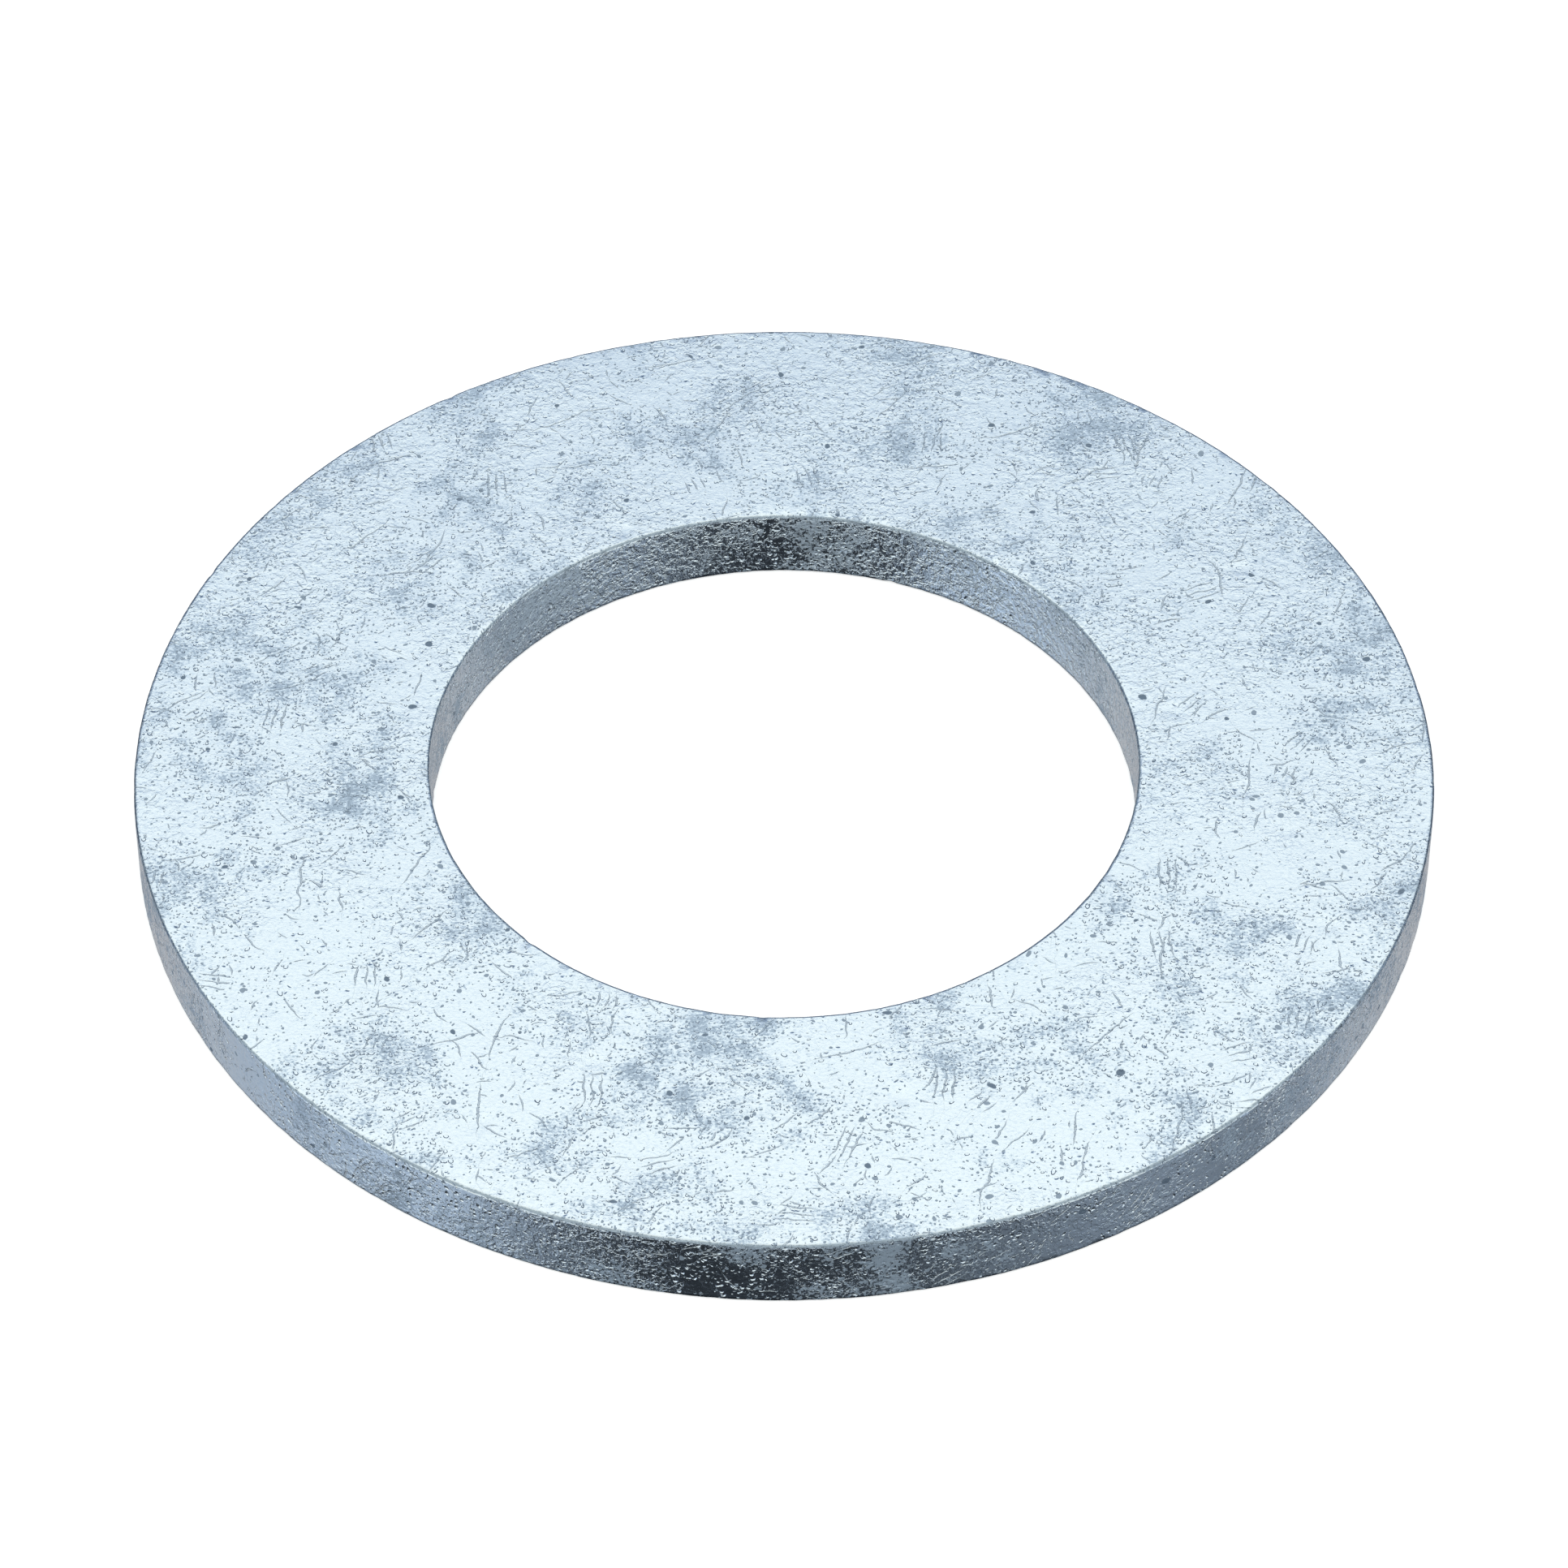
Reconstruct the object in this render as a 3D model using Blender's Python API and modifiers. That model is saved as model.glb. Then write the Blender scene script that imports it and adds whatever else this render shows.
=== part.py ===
"""A plain flat washer: one steel ring stamped from strip, its edges tumbled round and its skin zinc plated.

The ring lies flat. Its origin is the centre of the bore on the lower face, and +Z runs up the bolt's axis.
"""

import math

import bmesh
import bpy

# Driving dimensions, in metres: a plain washer of the narrow inch pattern, for a 1-3/8 inch bolt.
INCH = 0.0254
BORE_DIAMETER = 1.500 * INCH
OUTER_DIAMETER = 2.750 * INCH
THICKNESS = 0.165 * INCH
UPPER_EDGE_RADIUS = 0.00020  # the face that the punch entered, where the metal is drawn down round
LOWER_EDGE_RADIUS = 0.00014  # the face that the punch left, where tumbling takes off the burr

# How finely the turned shape is divided. The turn is a multiple of four, so the ring keeps its full width.
TURN_STEPS = 144
EDGE_STEPS = 3
MERGE_DISTANCE = 0.00001

# The plating's look.
ZINC_COLOUR = (0.60, 0.67, 0.74, 1.0)
ZINC_ROUGHNESS = 0.38
ZINC_METALLIC = 0.9


def clear_scene():
    """Removes every object that the file opened with."""
    for item in list(bpy.data.objects):
        bpy.data.objects.remove(item, do_unlink=True)


def part_collection(name):
    """A new collection in the scene that holds the object's parts."""
    collection = bpy.data.collections.new(name)
    bpy.context.scene.collection.children.link(collection)
    return collection


def rounded_corner(centre_radius, centre_height, edge_radius, first_angle):
    """Points of a quarter circle, as (radius, height), turning clockwise from first_angle."""
    quarter = math.pi / 2
    angles = [first_angle - quarter * step / EDGE_STEPS for step in range(EDGE_STEPS + 1)]
    return [
        (centre_radius + edge_radius * math.cos(angle), centre_height + edge_radius * math.sin(angle))
        for angle in angles
    ]


def ring_profile():
    """The ring's section: down the outer wall, in along the lower face, up the bore, out along the top."""
    outer_radius = OUTER_DIAMETER / 2
    bore_radius = BORE_DIAMETER / 2
    upper = UPPER_EDGE_RADIUS
    lower = LOWER_EDGE_RADIUS
    quarter = math.pi / 2
    return (
        rounded_corner(outer_radius - upper, THICKNESS - upper, upper, quarter)
        + rounded_corner(outer_radius - lower, lower, lower, 0.0)
        + rounded_corner(bore_radius + lower, lower, lower, -quarter)
        + rounded_corner(bore_radius + upper, THICKNESS - upper, upper, -2 * quarter)
    )


def profile_mesh(name, profile):
    """A closed loop of edges in the XZ plane through the profile's points."""
    loop = bmesh.new()
    corners = [loop.verts.new((radius, 0.0, height)) for radius, height in profile]
    for index, corner in enumerate(corners):
        loop.edges.new((corners[index - 1], corner))
    mesh = bpy.data.meshes.new(name)
    loop.to_mesh(mesh)
    loop.free()
    return mesh


def turn_round(part):
    """Turns the profile a full circle about Z, with flat faces that shade flat beside the round edges."""
    screw = part.modifiers.new("turned ring", "SCREW")
    screw.axis = "Z"
    screw.angle = 2 * math.pi
    screw.steps = TURN_STEPS
    screw.render_steps = TURN_STEPS
    screw.use_merge_vertices = True
    screw.merge_threshold = MERGE_DISTANCE
    screw.use_smooth_shade = True
    part.modifiers.new("flat faces", "WEIGHTED_NORMAL")


def zinc_plate():
    """Bright zinc with a blue tint, dulled by tumbling."""
    material = bpy.data.materials.new("zinc_plate")
    material.use_nodes = True
    shader = material.node_tree.nodes["Principled BSDF"]
    shader.inputs["Base Color"].default_value = ZINC_COLOUR
    shader.inputs["Roughness"].default_value = ZINC_ROUGHNESS
    shader.inputs["Metallic"].default_value = ZINC_METALLIC
    return material


def washer_ring(collection):
    """The whole washer, which is a single stamped piece."""
    name = "washer_ring"
    ring = bpy.data.objects.new(name, profile_mesh(name, ring_profile()))
    collection.objects.link(ring)
    turn_round(ring)
    ring.data.materials.append(zinc_plate())
    return ring


def main():
    clear_scene()
    washer_ring(part_collection("flat_washer"))


main()
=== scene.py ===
"""Looks of a plain flat washer: a stamped steel ring with tumbled edges and a cold blue zinc skin.

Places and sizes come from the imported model, in metres. Patterns on the skin are given in millimetres.
"""

import logging
import math
from dataclasses import dataclass, field
from enum import Enum
from typing import Any

import bmesh
import bpy
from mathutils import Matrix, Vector


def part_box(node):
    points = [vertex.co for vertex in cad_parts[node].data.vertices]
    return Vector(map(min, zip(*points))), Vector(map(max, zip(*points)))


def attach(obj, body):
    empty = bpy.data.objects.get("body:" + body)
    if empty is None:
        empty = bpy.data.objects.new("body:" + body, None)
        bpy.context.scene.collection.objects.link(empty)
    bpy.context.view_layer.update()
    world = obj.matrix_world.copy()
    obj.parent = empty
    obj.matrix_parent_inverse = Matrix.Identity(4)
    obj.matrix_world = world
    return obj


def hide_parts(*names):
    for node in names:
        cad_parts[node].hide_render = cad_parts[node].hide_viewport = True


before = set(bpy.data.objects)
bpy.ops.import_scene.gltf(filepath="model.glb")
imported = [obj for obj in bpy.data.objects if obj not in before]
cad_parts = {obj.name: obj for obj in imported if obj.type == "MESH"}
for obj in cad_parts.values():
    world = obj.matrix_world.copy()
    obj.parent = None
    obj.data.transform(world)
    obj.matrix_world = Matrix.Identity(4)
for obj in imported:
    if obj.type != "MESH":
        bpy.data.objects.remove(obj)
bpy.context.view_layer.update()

CAD_NODE = "washer_ring"
BODY = "root"
SLOT = "zinc_plate"
MM = 0.001
FULL_TURN = 2 * math.pi

Colour = tuple[float, float, float]
Span = tuple[float, float]  # the value that gives 0, then the value that gives 1
log = logging.getLogger("flat_washer")


class Hollow(Enum):
    """The section of a small pit in the skin."""

    FLAT_FLOOR = "flat floor"
    BOWL = "bowl"


class Signal:
    """A node's output socket that can be used in Python expressions."""

    def __init__(self, graph: "Graph", socket: bpy.types.NodeSocket) -> None:
        """Wraps the socket.

        Args:
            graph: The graph that the socket's node belongs to.
            socket: The output socket.
        """
        self.graph = graph
        self.socket = socket

    def _with(self, operation: str, first: "Value", second: "Value" = 0.0) -> "Signal":
        """Adds the Math or Vector Math node of an operation.

        Args:
            operation: The node's operation.
            first: The first value.
            second: The second value.

        Returns:
            The node's result.
        """
        sockets = [value.socket for value in (first, second) if isinstance(value, Signal)]
        is_vector = any(socket.type == "VECTOR" for socket in sockets)
        kind = "ShaderNodeVectorMath" if is_vector else "ShaderNodeMath"
        return self.graph.signal(kind, {"operation": operation}, {0: first, 1: second})

    def __add__(self, other: "Value") -> "Signal":
        """The sum."""
        return self._with("ADD", self, other)

    def __radd__(self, other: "Value") -> "Signal":
        """The sum, reflected."""
        return self._with("ADD", other, self)

    def __sub__(self, other: "Value") -> "Signal":
        """The difference."""
        return self._with("SUBTRACT", self, other)

    def __rsub__(self, other: "Value") -> "Signal":
        """The difference, reflected."""
        return self._with("SUBTRACT", other, self)

    def __mul__(self, other: "Value") -> "Signal":
        """The product."""
        return self._with("MULTIPLY", self, other)

    def __rmul__(self, other: "Value") -> "Signal":
        """The product, reflected."""
        return self._with("MULTIPLY", other, self)

    def __truediv__(self, other: "Value") -> "Signal":
        """The quotient."""
        return self._with("DIVIDE", self, other)

    def __abs__(self) -> "Signal":
        """The size, without the sign."""
        return self._with("ABSOLUTE", self)

    def __lt__(self, other: "Value") -> "Signal":
        """1 where this is below the other value, and 0 elsewhere."""
        return self._with("LESS_THAN", self, other)

    def __gt__(self, other: "Value") -> "Signal":
        """1 where this is above the other value, and 0 elsewhere."""
        return self._with("GREATER_THAN", self, other)

    def least(self, other: "Value") -> "Signal":
        """The smaller of the two."""
        return self._with("MINIMUM", self, other)

    def most(self, other: "Value") -> "Signal":
        """The larger of the two."""
        return self._with("MAXIMUM", self, other)

    def parts(self) -> tuple["Signal", "Signal", "Signal"]:
        """The vector's three numbers."""
        node = self.graph.node("ShaderNodeSeparateXYZ", {}, {0: self})
        return tuple(Signal(self.graph, output) for output in node.outputs)

    def length(self) -> "Signal":
        """The vector's length."""
        node = self.graph.node("ShaderNodeVectorMath", {"operation": "LENGTH"}, {0: self})
        return Signal(self.graph, node.outputs["Value"])

    def fit(self, low: "Value", high: "Value") -> "Signal":
        """Climbs softly from 0 at low to 1 at high, and the other way where low is the larger.

        Args:
            low: The value that gives 0.
            high: The value that gives 1.

        Returns:
            A value between 0 and 1.
        """
        settings = {"interpolation_type": "SMOOTHSTEP", "clamp": True}
        return self.graph.signal("ShaderNodeMapRange", settings, {0: self, 1: low, 2: high})


Value = Signal | float | tuple[float, ...]


class Graph:
    """Adds nodes to a material's, a world's or a Geometry Nodes tree."""

    def __init__(self, tree: bpy.types.NodeTree) -> None:
        """Starts on a tree.

        Args:
            tree: The tree that the nodes are added to.
        """
        self.tree = tree

    def node(self, kind: str, settings: dict[str, Any], inputs: dict[int | str, Value]) -> bpy.types.Node:
        """Adds one node.

        Args:
            kind: The node's type name.
            settings: The node's properties, which are set first.
            inputs: A value or a signal for each input socket, by its name or index.

        Returns:
            The new node.
        """
        node = self.tree.nodes.new(kind)
        for name, value in settings.items():
            setattr(node, name, value)
        for key, value in inputs.items():
            socket = node.inputs[key]
            if isinstance(value, Signal):
                self.tree.links.new(value.socket, socket)
            elif isinstance(value, (int, float)) and socket.type == "VECTOR":
                socket.default_value = (value, value, value)
            elif socket.type == "RGBA":
                socket.default_value = (*value, 1.0)
            else:
                socket.default_value = value
        return node

    def signal(
        self, kind: str, settings: dict[str, Any], inputs: dict[int | str, Value], output: int | str = 0
    ) -> Signal:
        """Adds one node and takes one of its outputs.

        Args:
            kind: The node's type name.
            settings: The node's properties.
            inputs: A value or a signal for each input socket.
            output: The output's name or index.

        Returns:
            The output.
        """
        return Signal(self, self.node(kind, settings, inputs).outputs[output])

    def vector(self, x: Value, y: Value, z: Value = 0.0) -> Signal:
        """A vector of three numbers."""
        return self.signal("ShaderNodeCombineXYZ", {}, {0: x, 1: y, 2: z})

    def noise(self, at: Signal, grain: float, detail: float = 2.0, roughness: float = 0.5) -> Signal:
        """Cloudy noise around 0.5.

        Args:
            at: The place, in millimetres.
            grain: The size of its largest clouds, in millimetres.
            detail: How many finer octaves it has.
            roughness: How strong the finer octaves are.

        Returns:
            The noise, mostly between 0.25 and 0.75.
        """
        inputs = {"Vector": at, "Scale": 1 / grain, "Detail": detail, "Roughness": roughness}
        return self.signal("ShaderNodeTexNoise", {}, inputs)

    def drift(self, at: Signal, grain: float, reach: float) -> Signal:
        """The place pushed about at random, so that what is drawn there gets uneven edges.

        Args:
            at: The place, in millimetres.
            grain: The size of the unevenness, in millimetres.
            reach: How far a point may be pushed, in millimetres.

        Returns:
            The pushed place.
        """
        inputs = {"Vector": at, "Scale": 1 / grain, "Detail": 1.0}
        push = self.signal("ShaderNodeTexNoise", {}, inputs, "Color")
        push = self.signal("ShaderNodeVectorMath", {"operation": "SUBTRACT"}, {0: push, 1: 0.5})
        return at + push * (2 * reach, 2 * reach, 0.0)

    def cells(
        self, at: Signal, size: float, spread: float = FULL_TURN
    ) -> tuple[Signal, tuple[Signal, Signal, Signal]]:
        """Cuts the surface into uneven cells, each around a point of its own.

        Args:
            at: The place on the surface, in millimetres.
            size: The usual width of a cell, in millimetres.
            spread: How much the random angles differ, around -50 degrees.

        Returns:
            The way here from the cell's point, turned by a random angle, and three random numbers.
        """
        inputs = {"Vector": at, "Scale": 1 / size, "Randomness": 1.0}
        node = self.node("ShaderNodeTexVoronoi", {"voronoi_dimensions": "2D"}, inputs)
        chances = Signal(self, node.outputs["Color"])
        turn, first, second = self._split(chances)
        offset = at - Signal(self, node.outputs["Position"])
        spin = {"Vector": offset, "Angle": (turn - 0.5) * spread - 0.87}
        turned = self.signal("ShaderNodeVectorRotate", {"rotation_type": "Z_AXIS"}, spin)
        third = self.signal("ShaderNodeMath", {"operation": "FRACT"}, {0: turn * 61.0})
        return turned, (first, second, third)

    def _split(self, colour: Signal) -> tuple[Signal, Signal, Signal]:
        """The colour's three channels."""
        node = self.node("ShaderNodeSeparateColor", {}, {0: colour})
        return tuple(Signal(self, output) for output in node.outputs)

    def blend(self, amount: Value, first: Value, second: Value) -> Signal:
        """A colour between two colours.

        Args:
            amount: 0 gives the first colour and 1 the second.
            first: The first colour.
            second: The second colour.

        Returns:
            The colour in between.
        """
        node = self.node("ShaderNodeMix", {"data_type": "RGBA"}, {0: amount, 6: first, 7: second})
        return Signal(self, node.outputs[2])


@dataclass(frozen=True)
class Site:
    """What the patterns know about a place on the washer's surface. Lengths are in millimetres.

    The sheet holds the faces and walls laid out flat. The values on_wall, on_bore and is_lower are 1 on
    both walls, on the bore's wall and on the lower half. The corner meant by from_corner is the sharp one
    that the ring would have without its round edges.
    """

    place: Signal
    sheet: Signal
    on_wall: Signal
    on_bore: Signal
    is_lower: Signal
    from_corner: Signal
    area: Signal
    grit: Signal


@dataclass(frozen=True)
class ByPlace:
    """A number that differs between the washer's faces and its walls."""

    face: float
    wall: float

    def here(self, site: Site) -> Signal:
        """The number at a place."""
        return self.face + (self.wall - self.face) * site.on_wall


@dataclass(frozen=True)
class Marks:
    """How deep each kind of mark is cut at a place, from 0 for none to 1 for its floor."""

    scratches: Signal
    craters: Signal
    specks: Signal
    spots: Signal
    stains: Signal
    dents: Signal


@dataclass(frozen=True)
class Scratches:
    """Bent grooves, at most one bunch in each cell of the surface. Sizes are in millimetres."""

    cell: float
    half_length: float
    half_width: float
    bend: float
    share: float
    start: float
    spread: float = FULL_TURN
    lines: int = 1
    gap: float = 1.0

    def cut(self, graph: Graph, at: Signal) -> Signal:
        """How deep the grooves are cut here.

        Args:
            graph: The graph to add the nodes to.
            at: The place on the surface.

        Returns:
            A value from 0 outside the grooves to 1 along their middle.
        """
        start = (self.start, -self.start, 0.0)
        offset, (curve, chance, stretch) = graph.cells(at + start, self.cell, self.spread)
        along, across, _ = offset.parts()
        bent = across + along * along * (curve - 0.5) * (2 * self.bend)
        is_there = chance < self.share
        if self.lines > 1:
            half_gap = self.gap / 2
            is_there = is_there * (abs(bent) < self.lines * half_gap)
            limits = {0: bent, 1: half_gap, 2: -half_gap}
            bent = graph.signal("ShaderNodeMath", {"operation": "WRAP"}, limits)
        reach = along / (self.half_length * (0.35 + 0.65 * stretch))
        width = (self.half_width * (1.0 - reach * reach)).most(self.half_width / 50)
        return (1.0 - abs(bent) / width).fit(0.0, 0.5) * is_there


@dataclass(frozen=True)
class Pits:
    """Small round or oval pits, at most one in each cell of the surface. Sizes are in millimetres."""

    cell: float
    smallest: float
    largest: float
    stretch: float
    share: float
    start: float
    lip: float = 0.02
    hollow: Hollow = Hollow.FLAT_FLOOR

    def cut(self, graph: Graph, at: Signal, crowding: Value = 1.0) -> Signal:
        """How deep the pits are cut here.

        Args:
            graph: The graph to add the nodes to.
            at: The place on the surface.
            crowding: How many of the pits there are here, from 0 for none to 1 for all.

        Returns:
            A value from 0 outside the pits to 1 at their floor.
        """
        offset, (size, chance, shape) = graph.cells(at + (self.start, 2 * self.start, 0.0), self.cell)
        oval = graph.vector(1.0, 1.0 + self.stretch * shape, 0.0)
        reach = (offset * oval).length()
        radius = self.smallest + (self.largest - self.smallest) * size * size
        if self.hollow is Hollow.FLAT_FLOOR:
            depth = reach.fit(radius + self.lip, radius - self.lip)
        else:
            depth = (reach / radius).fit(1.0, 0.0)
        return depth * (chance < self.share * crowding)


@dataclass(frozen=True)
class ZincSkin:
    """Bright zinc with a blue tint, pitted, scratched and dulled in patches by tumbling.

    Grains, reaches, heights and depths are in millimetres. Shares, strengths and dullness run from 0 to 1.
    """

    name: str = SLOT
    bright: Colour = (0.776, 0.880, 0.949)
    haze: Colour = (0.540, 0.672, 0.812)
    dull: Colour = (0.335, 0.43, 0.54)
    stain: Colour = (0.215, 0.285, 0.37)
    # Painted shade: the dark colour of the band laid along the rims.
    painted_rim_shade: Colour = (0.25, 0.32, 0.39)
    bright_roughness: ByPlace = ByPlace(0.20, 0.10)
    dull_roughness: float = 0.62
    dull_metal: float = 0.35
    # Painted sheen: how much lighter the bore's wall is made, towards the bright colour.
    painted_bore_sheen: float = 0.22
    long_scratches: Scratches = Scratches(
        cell=5.0, half_length=2.3, half_width=0.065, bend=0.05, share=0.55, start=11.0, spread=1.6
    )
    short_scratches: Scratches = Scratches(
        cell=2.2, half_length=1.0, half_width=0.060, bend=0.30, share=0.5, start=23.0
    )
    tiny_scratches: Scratches = Scratches(
        cell=1.1, half_length=0.42, half_width=0.050, bend=0.6, share=0.3, start=37.0
    )
    scratch_bunches: Scratches = Scratches(
        cell=6.0,
        half_length=1.3,
        half_width=0.060,
        bend=0.05,
        share=0.45,
        start=53.0,
        spread=2.2,
        lines=3,
        gap=0.45,
    )
    craters: Pits = Pits(
        cell=0.62, smallest=0.070, largest=0.15, stretch=0.45, share=0.8, start=71.0, lip=0.026
    )
    specks: Pits = Pits(
        cell=0.27, smallest=0.036, largest=0.085, stretch=0.7, share=0.8, start=83.0, lip=0.014
    )
    spots: Pits = Pits(
        cell=1.3, smallest=0.07, largest=0.18, stretch=0.6, share=0.80, start=97.0, lip=0.02
    )
    stains: Pits = Pits(
        cell=4.6, smallest=0.15, largest=0.26, stretch=0.6, share=0.4, start=131.0, lip=0.03
    )
    dents: Pits = Pits(
        cell=0.36, smallest=0.055, largest=0.19, stretch=0.6, share=0.95, start=151.0, hollow=Hollow.BOWL
    )
    spot_share: ByPlace = ByPlace(0.3, 1.0)
    dent_share: ByPlace = ByPlace(0.25, 1.0)
    bore_dents: float = 0.35
    patch_strength: ByPlace = ByPlace(0.62, 0.85)
    patch_start: float = 1.665
    patch_full: ByPlace = ByPlace(1.86, 1.745)
    bore_patches: float = 0.015
    haze_span: Span = (1.065, 1.35)
    scratch_dullness: ByPlace = ByPlace(0.5, 0.25)
    speck_dullness: ByPlace = ByPlace(0.95, 0.30)
    spot_dullness: float = 0.9
    spot_stain: float = 0.45
    speck_stain: float = 0.35
    # Painted shade along the rims: its strength, how far it reaches from the corner, and how much further
    # it reaches along the lower rim.
    painted_shade_strength: float = 0.9
    painted_shade_reach: float = 0.17
    painted_shade_lower_growth: float = 1.6
    grit_grain: float = 0.22
    grit_height: float = 0.006
    wave_grain: float = 0.40
    wave_height: float = 0.011
    ridge_height: float = 0.006
    wave_growth: ByPlace = ByPlace(1.0, 3.4)
    bore_growth: float = 1.9
    calm: float = 0.25
    rough_slope: float = 0.0029
    scratch_depth: ByPlace = ByPlace(0.026, 0.056)
    speck_depth: ByPlace = ByPlace(0.014, 0.036)
    dent_depth: ByPlace = ByPlace(0.024, 0.070)
    crater_depth: float = 0.055
    spot_depth: float = 0.006

    def material(self, ring: "WasherRing") -> bpy.types.Material:
        """Builds the material.

        Args:
            ring: The washer, for the sizes that tell its faces from its walls.

        Returns:
            The material.
        """
        material = bpy.data.materials.new(self.name)
        material.use_nodes = True
        material.node_tree.nodes.clear()
        graph = Graph(material.node_tree)
        site = self._site(graph, ring)
        marks = self._marks(graph, site)
        colour, roughness, metal = self._finish(graph, site, marks)
        height = self._height(graph, site, marks)
        normal = graph.signal("ShaderNodeBump", {}, {"Strength": 1.0, "Distance": MM, "Height": height})
        inputs = {"Base Color": colour, "Roughness": roughness, "Metallic": metal, "Normal": normal}
        shader = graph.signal("ShaderNodeBsdfPrincipled", {}, inputs)
        graph.node("ShaderNodeOutputMaterial", {}, {"Surface": shader})
        return material

    def _site(self, graph: Graph, ring: "WasherRing") -> Site:
        """Finds where a place lies on the washer and how crowded and gritty the skin is there.

        Args:
            graph: The graph to add the nodes to.
            ring: The washer.

        Returns:
            The place, with the washer's faces and walls laid out side by side on one sheet.
        """
        outer, bore, thickness = ring.outer_radius / MM, ring.bore_radius / MM, ring.thickness / MM
        place = graph.signal("ShaderNodeTexCoord", {}, {}, "Object") * (1 / MM)
        x, y, z = place.parts()
        radius = graph.vector(x, y).length()
        angle = graph.signal("ShaderNodeMath", {"operation": "ARCTAN2"}, {0: y, 1: x})
        from_face = z.least(thickness - z)
        from_wall = (radius - bore).least(outer - radius)
        on_wall = from_face > from_wall
        is_outer = radius > (outer + bore) / 2
        is_lower = z < thickness / 2
        face = graph.vector(x + 4 * outer * is_lower, y)
        wall = graph.vector(angle * radius + 8 * outer * is_outer, z + 4 * outer)
        sheet = face + (wall - face) * on_wall
        grain = graph.vector(1.0, 1.6 - 0.6 * on_wall, 1.0)
        return Site(
            place=place,
            sheet=sheet,
            on_wall=on_wall,
            on_bore=on_wall * (1.0 - is_outer),
            is_lower=is_lower,
            from_corner=from_face.most(from_wall),
            area=graph.noise(place + (7.0, 3.0, 0.0), 6.0, 3.0, 0.6),
            grit=graph.noise(sheet * grain, self.grit_grain, 3.0, 0.7),
        )

    def _marks(self, graph: Graph, site: Site) -> Marks:
        """Cuts the scratches and pits, which crowd together in some areas.

        Args:
            graph: The graph to add the nodes to.
            site: The place on the washer.

        Returns:
            The marks.
        """
        drawn = graph.drift(graph.drift(site.sheet, 1.1, 0.28), 0.16, 0.035)
        scratches = self.long_scratches.cut(graph, drawn)
        for family in (self.short_scratches, self.tiny_scratches, self.scratch_bunches):
            scratches = scratches.most(family.cut(graph, drawn))
        crowding = 0.15 + 0.85 * site.area.fit(0.40, 0.58)
        grouping = graph.noise(site.place + (0.0, 40.0, 0.0), 2.2, 2.0).fit(0.44, 0.60)
        grouping = self.dent_share.here(site) * grouping.most(self.bore_dents * site.on_bore)
        return Marks(
            scratches=scratches * site.grit.fit(0.30, 0.48),
            craters=self.craters.cut(graph, drawn, crowding),
            specks=self.specks.cut(graph, drawn, crowding),
            spots=self.spots.cut(graph, drawn, self.spot_share.here(site)),
            stains=self.stains.cut(graph, drawn),
            dents=self.dents.cut(graph, drawn, grouping),
        )

    def _finish(self, graph: Graph, site: Site, marks: Marks) -> tuple[Signal, Signal, Signal]:
        """Hazes and dulls the metal in cloudy patches and in the marks, paints shade along the rims and
        paints a sheen on the bore's wall.

        Args:
            graph: The graph to add the nodes to.
            site: The place on the washer.
            marks: The marks there.

        Returns:
            The base colour, the roughness and the metallic value.
        """
        area, grit = site.area, site.grit
        cloud = graph.noise(site.place, 1.5, 3.0, 0.65)
        haze = (0.6 * cloud + 0.8 * area + 0.8 * grit).fit(*self.haze_span)
        haze = haze.most(0.45 * grit.fit(0.48, 0.64))
        more = self.bore_patches * site.on_bore
        patches = 0.8 * cloud + area + 1.3 * grit
        patches = patches.fit(self.patch_start - more, self.patch_full.here(site) - more)
        dullness = (self.patch_strength.here(site) * patches).most(self.spot_dullness * marks.spots)
        dullness = dullness.most(self.scratch_dullness.here(site) * marks.scratches)
        dullness = dullness.most(self.speck_dullness.here(site) * marks.specks)
        stained = marks.stains.most(self.spot_stain * marks.spots).most(self.speck_stain * marks.specks)
        # Painted shade: a dark band along every rim, wider along the lower rim, its edge made ragged by
        # the grit.
        painted_shade_reach = self.painted_shade_reach * (1.0 + (self.painted_shade_lower_growth - 1.0) * site.is_lower)
        painted_rim_shade_mask = (site.from_corner + 0.25 * (grit - 0.5)).fit(painted_shade_reach, 0.6 * painted_shade_reach)
        colour = graph.blend(haze, self.bright, self.haze)
        colour = graph.blend(dullness, colour, self.dull)
        colour = graph.blend(stained, colour, self.stain)
        # Painted sheen: the bore's wall is made lighter than the outer wall.
        colour = graph.blend(self.painted_bore_sheen * site.on_bore, colour, self.bright)
        # Lays the painted shade along the rims.
        colour = graph.blend(self.painted_shade_strength * painted_rim_shade_mask, colour, self.painted_rim_shade)
        smooth = self.bright_roughness.here(site)
        roughness = smooth + (self.dull_roughness - smooth) * dullness.most(marks.stains)
        return colour, roughness, 1.0 - (1.0 - self.dull_metal) * dullness

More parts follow.
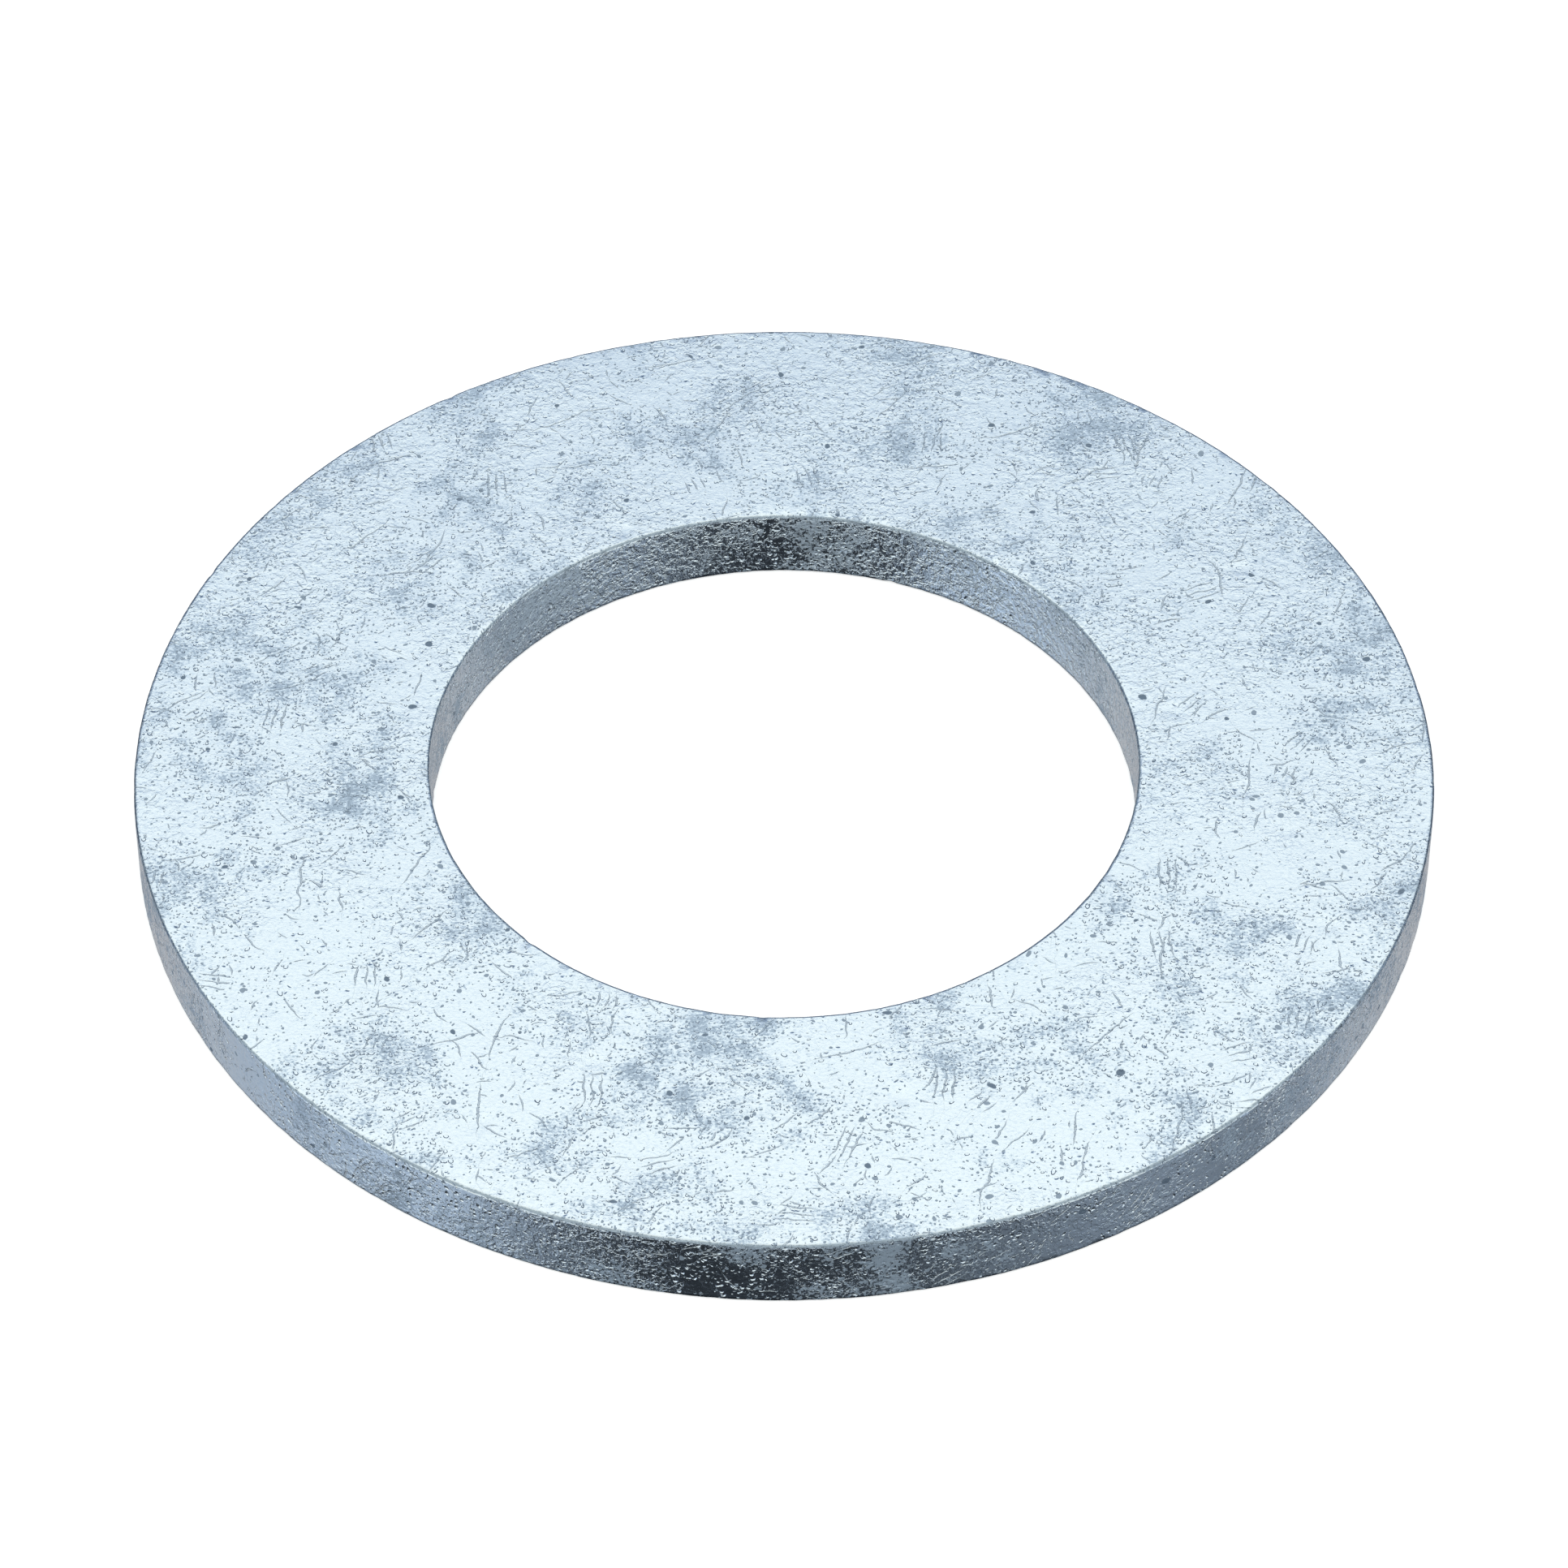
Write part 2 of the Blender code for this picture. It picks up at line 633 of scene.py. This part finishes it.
    def _height(self, graph: Graph, site: Site, marks: Marks) -> Signal:
        """Raises the fine waves that tumbling left, mostly on one side and the walls, and sinks the marks.

        Args:
            graph: The graph to add the nodes to.
            site: The place on the washer.
            marks: The marks there.

        Returns:
            The height of the skin, in millimetres.
        """
        swell = graph.noise(site.sheet + (0.0, 0.0, 9.0), self.wave_grain, 3.0, 0.60)
        side = graph.noise(site.place + (0.0, 0.0, 90.0), 6.0, 1.0)
        side = side + site.place.parts()[1] * self.rough_slope
        relief = self.calm + (1.0 - self.calm) * (side + 0.04 * site.on_wall).fit(0.38, 0.62)
        waves = relief * (self.ridge_height * swell.fit(0.45, 0.57) + self.wave_height * swell)
        waves = waves * (self.wave_growth.here(site) + self.bore_growth * site.on_bore)
        waves = waves + self.grit_height * site.grit
        cuts = self.crater_depth * marks.craters + self.spot_depth * marks.spots.most(marks.stains)
        cuts = cuts + self.scratch_depth.here(site) * marks.scratches
        cuts = cuts + self.speck_depth.here(site) * marks.specks
        cuts = cuts + self.dent_depth.here(site) * marks.dents
        return waves - cuts


@dataclass
class WasherRing:
    """The washer's one piece: a flat ring with round edges, in metres."""

    outer_radius: float
    bore_radius: float
    thickness: float
    upper_edge: float = 0.20 * MM
    lower_edge: float = 0.14 * MM
    turn_steps: int = 896
    edge_steps: int = 3
    sharp_angle: float = math.radians(12)
    section_step: float = 0.42 * MM
    wave_depth: float = 0.014 * MM
    dent_depth: float = 0.035 * MM
    nick_depth: float = 0.075 * MM
    rim_span: Span = (0.7 * MM, 0.05 * MM)
    wave_grain: float = 11.0 * MM
    chatter_grain: float = 1.1 * MM
    chatter_share: float = 0.35
    dent_spacing: float = 5.0 * MM
    dent_reach: float = 0.9 * MM
    nick_spacing: float = 2.6 * MM
    nick_reach: float = 0.55 * MM
    seed: int = 7
    skin: ZincSkin = field(default_factory=ZincSkin)

    @classmethod
    def from_frame(cls, node: str) -> "WasherRing":
        """Reads the ring's sizes off its CAD node.

        Args:
            node: The CAD node's name.

        Returns:
            The ring.
        """
        low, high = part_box(node)
        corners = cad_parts[node].data.vertices
        bore_radius = min(math.hypot(corner.co.x, corner.co.y) for corner in corners)
        return cls(outer_radius=high.x, bore_radius=bore_radius, thickness=high.z - low.z)

    def build(self) -> bpy.types.Object:
        """Makes the ring's mesh, dresses it and gives it the CAD node's place.

        Returns:
            The finished piece.
        """
        inputs = self._inputs()
        tree = self._tree(inputs)
        carrier = bpy.data.objects.new("ring_carrier", bpy.data.meshes.new("ring_carrier"))
        bpy.context.scene.collection.objects.link(carrier)
        modifier = carrier.modifiers.new("ring", "NODES")
        modifier.node_group = tree
        for name, value in inputs.items():
            modifier[self._identifier(tree, name)] = value
        bpy.context.view_layer.update()
        evaluated = carrier.evaluated_get(bpy.context.evaluated_depsgraph_get())
        mesh = bpy.data.meshes.new_from_object(evaluated)
        bpy.data.objects.remove(carrier, do_unlink=True)
        mesh.name = "zinc_washer"
        piece = bpy.data.objects.new("zinc_washer", mesh)
        bpy.context.scene.collection.objects.link(piece)
        self._close(mesh)
        mesh.shade_smooth()
        mesh.set_sharp_from_angle(angle=self.sharp_angle)
        log.info("%s: %d faces", piece.name, len(mesh.polygons))
        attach(piece, BODY)
        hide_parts(CAD_NODE)
        return piece

    def _inputs(self) -> dict[str, Any]:
        """The values of the tree's named inputs."""
        return {
            "Outer Radius": self.outer_radius,
            "Bore Radius": self.bore_radius,
            "Thickness": self.thickness,
            "Upper Edge": self.upper_edge,
            "Lower Edge": self.lower_edge,
            "Turn Steps": self.turn_steps,
            "Edge Steps": self.edge_steps,
            "Section Step": self.section_step,
            "Wave Depth": self.wave_depth,
            "Dent Depth": self.dent_depth,
            "Nick Depth": self.nick_depth,
            "Seed": self.seed,
            "Skin": self.skin.material(self),
        }

    @staticmethod
    def _identifier(tree: bpy.types.NodeTree, name: str) -> str:
        """The identifier of the tree's input of that name."""
        return next(item.identifier for item in tree.interface.items_tree if item.name == name)

    @staticmethod
    def _close(mesh: bpy.types.Mesh) -> None:
        """Merges doubles and turns the faces outwards.

        Args:
            mesh: The ring's mesh.
        """
        work = bmesh.new()
        work.from_mesh(mesh)
        bmesh.ops.remove_doubles(work, verts=work.verts, dist=MM / 1000)
        bmesh.ops.recalc_face_normals(work, faces=work.faces)
        work.to_mesh(mesh)
        work.free()

    def _tree(self, inputs: dict[str, Any]) -> bpy.types.NodeTree:
        """Builds the Geometry Nodes tree of the ring.

        Args:
            inputs: The names and values of its inputs.

        Returns:
            The tree, with its sizes as named inputs.
        """
        tree = bpy.data.node_groups.new("turned_ring", "GeometryNodeTree")
        kinds = {float: "NodeSocketFloat", int: "NodeSocketInt", bpy.types.Material: "NodeSocketMaterial"}
        for name, value in inputs.items():
            tree.interface.new_socket(name, in_out="INPUT", socket_type=kinds[type(value)])
        tree.interface.new_socket("Geometry", in_out="OUTPUT", socket_type="NodeSocketGeometry")
        graph = Graph(tree)
        entry = graph.node("NodeGroupInput", {}, {})
        sizes = {socket.name: Signal(graph, socket) for socket in entry.outputs if socket.name}
        section = self._section(graph, sizes)
        middle = (sizes["Outer Radius"] + sizes["Bore Radius"]) / 2
        turn = {"Resolution": sizes["Turn Steps"], "Radius": middle}
        circle = graph.signal("GeometryNodeCurvePrimitiveCircle", {}, turn)
        ring = graph.signal("GeometryNodeCurveToMesh", {}, {"Curve": circle, "Profile Curve": section})
        lift = graph.vector(0.0, 0.0, sizes["Thickness"] / 2)
        ring = graph.signal("GeometryNodeSetPosition", {}, {"Geometry": ring, "Offset": lift})
        wear = self._relief(graph, sizes)
        ring = graph.signal("GeometryNodeSetPosition", {}, {"Geometry": ring, "Offset": wear})
        ring = graph.signal("GeometryNodeRealizeInstances", {}, {"Geometry": ring})
        ring = graph.signal("GeometryNodeSetMaterial", {}, {"Geometry": ring, "Material": sizes["Skin"]})
        graph.node("NodeGroupOutput", {}, {"Geometry": ring})
        return tree

    @staticmethod
    def _section(graph: Graph, sizes: dict[str, Signal]) -> Signal:
        """The ring's section: a rectangle with round corners, its long sides cut into short steps.

        Args:
            graph: The graph to add the nodes to.
            sizes: The tree's named inputs.

        Returns:
            The section as a curve around the origin. Its Y axis points down once it's swept round.
        """
        width = sizes["Outer Radius"] - sizes["Bore Radius"]
        frame_sizes = {"Width": width, "Height": sizes["Thickness"]}
        plain = graph.signal("GeometryNodeCurvePrimitiveQuadrilateral", {}, frame_sizes)
        position = graph.signal("GeometryNodeInputPosition", {}, {})
        is_upper = position.parts()[1] < 0.0
        radius = sizes["Lower Edge"] + (sizes["Upper Edge"] - sizes["Lower Edge"]) * is_upper
        corners = {"Curve": plain, "Count": sizes["Edge Steps"], "Radius": radius}
        rounded = graph.signal("GeometryNodeFilletCurve", {"mode": "POLY"}, corners)
        following = graph.signal("GeometryNodeOffsetPointInCurve", {}, {"Offset": 1}, "Point Index")
        ahead = {"Index": following, "Value": position}
        next_place = graph.signal("GeometryNodeFieldAtIndex", {"data_type": "FLOAT_VECTOR"}, ahead)
        steps = (next_place - position).length() / sizes["Section Step"]
        return graph.signal("GeometryNodeSubdivideCurve", {}, {"Curve": rounded, "Cuts": steps})

    def _relief(self, graph: Graph, sizes: dict[str, Signal]) -> Signal:
        """How each point is pushed into the metal by waves, dents and nicks along the rims.

        Args:
            graph: The graph to add the nodes to.
            sizes: The tree's named inputs.

        Returns:
            The offset of each point, which never points out of the metal.
        """
        position = graph.signal("GeometryNodeInputPosition", {}, {})
        place = position * (1 / MM) + graph.vector(sizes["Seed"] * 17.0, sizes["Seed"] * 5.0)
        x, y, z = position.parts()
        radius = graph.vector(x, y).length()
        from_face = z.least(sizes["Thickness"] - z)
        from_wall = (radius - sizes["Bore Radius"]).least(sizes["Outer Radius"] - radius)
        rim = from_face.most(from_wall).fit(*self.rim_span)
        waves = graph.noise(place, self.wave_grain / MM, 1.0).fit(0.3, 0.7)
        dents = self._bowls(graph, place, self.dent_spacing, self.dent_reach)
        nicks = self._bowls(graph, place, self.nick_spacing, self.nick_reach) * rim
        chatter = graph.noise(place, self.chatter_grain / MM, 2.0, 0.6).fit(0.35, 0.75) * rim
        depth = sizes["Wave Depth"] * waves + sizes["Dent Depth"] * dents
        depth = depth + sizes["Nick Depth"] * nicks.most(self.chatter_share * chatter)
        normal = graph.signal("GeometryNodeInputNormal", {}, {})
        return normal * (0.0 - depth)

    @staticmethod
    def _bowls(graph: Graph, place: Signal, spacing: float, reach: float) -> Signal:
        """Round hollows scattered through space, one in each cell.

        Args:
            graph: The graph to add the nodes to.
            place: The place, in millimetres.
            spacing: The usual distance between two hollows, in metres.
            reach: A hollow's radius, in metres.

        Returns:
            A value from 0 outside the hollows to 1 in their middle.
        """
        inputs = {"Vector": place, "Scale": MM / spacing, "Randomness": 1.0}
        distance = graph.signal("ShaderNodeTexVoronoi", {}, inputs)
        return distance.fit(reach / spacing, 0.0)


@dataclass(frozen=True)
class Sky:
    """A soft dome of light: bright above and in front, dim low down behind, dark below the front.

    A glowing card stands low on each side. The camera stands on the -Y side, and a span says where a light
    or a tint starts and where it's full, as one part of a direction of length 1.
    """

    high_colour: Colour = (0.993, 0.996, 0.948)
    low_colour: Colour = (0.72, 0.95, 1.38)
    ground_colour: Colour = (0.86, 0.97, 1.14)
    back_colour: Colour = (0.98, 0.97, 1.00)
    horizon: float = 0.18
    top: float = 1.155
    shade: float = 0.25
    ground_front: float = 0.030
    ground_side: float = 0.155
    ground_cards: float = 0.07
    ground_back: float = 0.315
    card_light: float = 0.75
    backdrop: float = 1.05
    opening: Span = (-0.12, 0.36)
    shade_forward: Span = (-0.2, -0.8)
    shade_low: Span = (0.6, 0.2)
    shade_zenith: Span = (0.80, 0.97)
    lift: Span = (-0.52, 0.08)
    card_aside: Span = (0.45, 0.62)
    card_forward: Span = (0.10, -0.25)
    card_foot: Span = (-0.68, -0.42)
    card_head: Span = (0.15, -0.15)
    ground_foot: Span = (-0.96, -0.76)
    ground_head: Span = (-0.15, -0.5)
    side_reach: Span = (-0.66, -0.38)
    back_reach: Span = (-0.42, 0.10)
    back_tint: Span = (0.1, 0.6)

    def build(self) -> None:
        """Makes the world. The camera sees it plain white, and everything else is lit by the dome."""
        world = bpy.data.worlds.new("studio")
        bpy.context.scene.world = world
        world.use_nodes = True
        world.node_tree.nodes.clear()
        graph = Graph(world.node_tree)
        x, y, z = graph.signal("ShaderNodeTexCoord", {}, {}, "Generated").parts()
        opened = (z - 0.6 * y).fit(*self.opening)
        shaded = (y.fit(*self.shade_forward) * z.fit(*self.shade_low)).most(z.fit(*self.shade_zenith))
        above = self.horizon + (self.top - self.horizon) * opened * (1.0 - self.shade * shaded)
        beside = abs(x).fit(*self.card_aside) * y.fit(*self.card_forward)
        card = beside * z.fit(*self.card_foot) * z.fit(*self.card_head)
        below = self._ground(x, y, z, beside)
        lift = z.fit(*self.lift)
        light = below + (above - below) * lift + self.card_light * card
        tint = graph.blend(opened.most(card), self.low_colour, self.high_colour)
        ground_tint = graph.blend(y.fit(*self.back_tint), self.ground_colour, self.back_colour)
        tint = graph.blend(lift.most(card), ground_tint, tint)
        seen = graph.signal("ShaderNodeLightPath", {}, {}, "Is Camera Ray")
        tint = graph.blend(seen, tint, (1.0, 1.0, 1.0))
        strength = light + (self.backdrop - light) * seen
        shader = graph.signal("ShaderNodeBackground", {}, {"Color": tint, "Strength": strength})
        graph.node("ShaderNodeOutputWorld", {}, {"Surface": shader})

    def _ground(self, x: Signal, y: Signal, z: Signal, beside: Signal) -> Signal:
        """The light from below the horizon: dark in front, brighter at the sides and behind.

        Args:
            x: How far the direction points to the right, from -1 to 1.
            y: How far it points away from the camera.
            z: How far it points up.
            beside: 1 on the cards' two sides, and 0 elsewhere.

        Returns:
            The light's strength.
        """
        sides = (y + 0.18 * x).fit(*self.side_reach) * self.ground_side
        cards = beside * self.ground_cards
        back = (y - 0.6 * x).fit(*self.back_reach) * self.ground_back
        band = z.fit(*self.ground_foot) * z.fit(*self.ground_head)
        return self.ground_front + (sides + cards + back) * band


@dataclass
class Studio:
    """A pale floor, soft light from all round and above, and the camera."""

    floor_radius: float = 1.6
    floor_colour: Colour = (0.90, 0.905, 0.91)
    floor_glow: float = 0.45
    lens: float = 150.4
    camera_elevation: float = math.radians(44.9)
    camera_distance: float = 10.135  # in outer radii
    lamp_energy: float = 0.02
    lamp_elevation: float = math.radians(66)
    lamp_aside: float = -0.12
    lamp_reach: float = 14.0  # in outer radii
    sky: Sky = field(default_factory=Sky)

    def build(self, ring: WasherRing) -> None:
        """Sets the washer's surroundings up.

        Args:
            ring: The washer, for its size.
        """
        self._floor()
        self.sky.build()
        self._softbox(ring)
        self._camera(ring)
        bpy.context.scene.view_settings.view_transform = "Standard"

    def _floor(self) -> None:
        """Makes the pale floor that the washer lies on, a disc whose light the metal doesn't mirror."""
        mesh = bpy.data.meshes.new("floor")
        work = bmesh.new()
        bmesh.ops.create_circle(work, cap_ends=True, segments=96, radius=self.floor_radius)
        work.to_mesh(mesh)
        work.free()
        floor = bpy.data.objects.new("floor", mesh)
        bpy.context.scene.collection.objects.link(floor)
        material = bpy.data.materials.new("pale_floor")
        material.use_nodes = True
        material.node_tree.nodes.clear()
        graph = Graph(material.node_tree)
        inputs = {
            "Base Color": self.floor_colour,
            "Roughness": 0.9,
            "Specular IOR Level": 0.0,
            "Emission Color": (1.0, 1.0, 1.0),
            "Emission Strength": self.floor_glow,
        }
        shader = graph.signal("ShaderNodeBsdfPrincipled", {}, inputs)
        graph.node("ShaderNodeOutputMaterial", {}, {"Surface": shader})
        mesh.materials.append(material)
        floor.visible_glossy = False
        floor.visible_diffuse = False

    def _softbox(self, ring: WasherRing) -> None:
        """Hangs a wide soft lamp over and behind the washer, whose glow the upper face mirrors.

        Args:
            ring: The washer, for its size.
        """
        lamp = bpy.data.lights.new("softbox", "AREA")
        lamp.shape = "DISK"
        lamp.size = self.lamp_reach * ring.outer_radius
        lamp.energy = self.lamp_energy
        holder = bpy.data.objects.new("softbox", lamp)
        bpy.context.scene.collection.objects.link(holder)
        way = Vector((self.lamp_aside, math.cos(self.lamp_elevation), math.sin(self.lamp_elevation)))
        holder.location = way * self.lamp_reach * ring.outer_radius
        holder.rotation_euler = way.to_track_quat("Z", "Y").to_euler()

    def _camera(self, ring: WasherRing) -> None:
        """Aims a long lens down at the washer's middle.

        Args:
            ring: The washer, for its size.
        """
        camera = bpy.data.cameras.new("camera")
        camera.lens = self.lens
        camera.clip_start = 0.01
        holder = bpy.data.objects.new("camera", camera)
        bpy.context.scene.collection.objects.link(holder)
        back = Vector((0.0, -math.cos(self.camera_elevation), math.sin(self.camera_elevation)))
        middle = Vector((0.0, 0.0, ring.thickness / 2))
        holder.location = middle + back * self.camera_distance * ring.outer_radius
        holder.rotation_euler = (-back).to_track_quat("-Z", "Y").to_euler()
        bpy.context.scene.camera = holder


def main() -> None:
    """Builds the washer and the studio around it."""
    logging.basicConfig(level=logging.INFO, format="%(name)s: %(message)s")
    ring = WasherRing.from_frame(CAD_NODE)
    ring.build()
    Studio().build(ring)


if __name__ == "__main__":
    main()
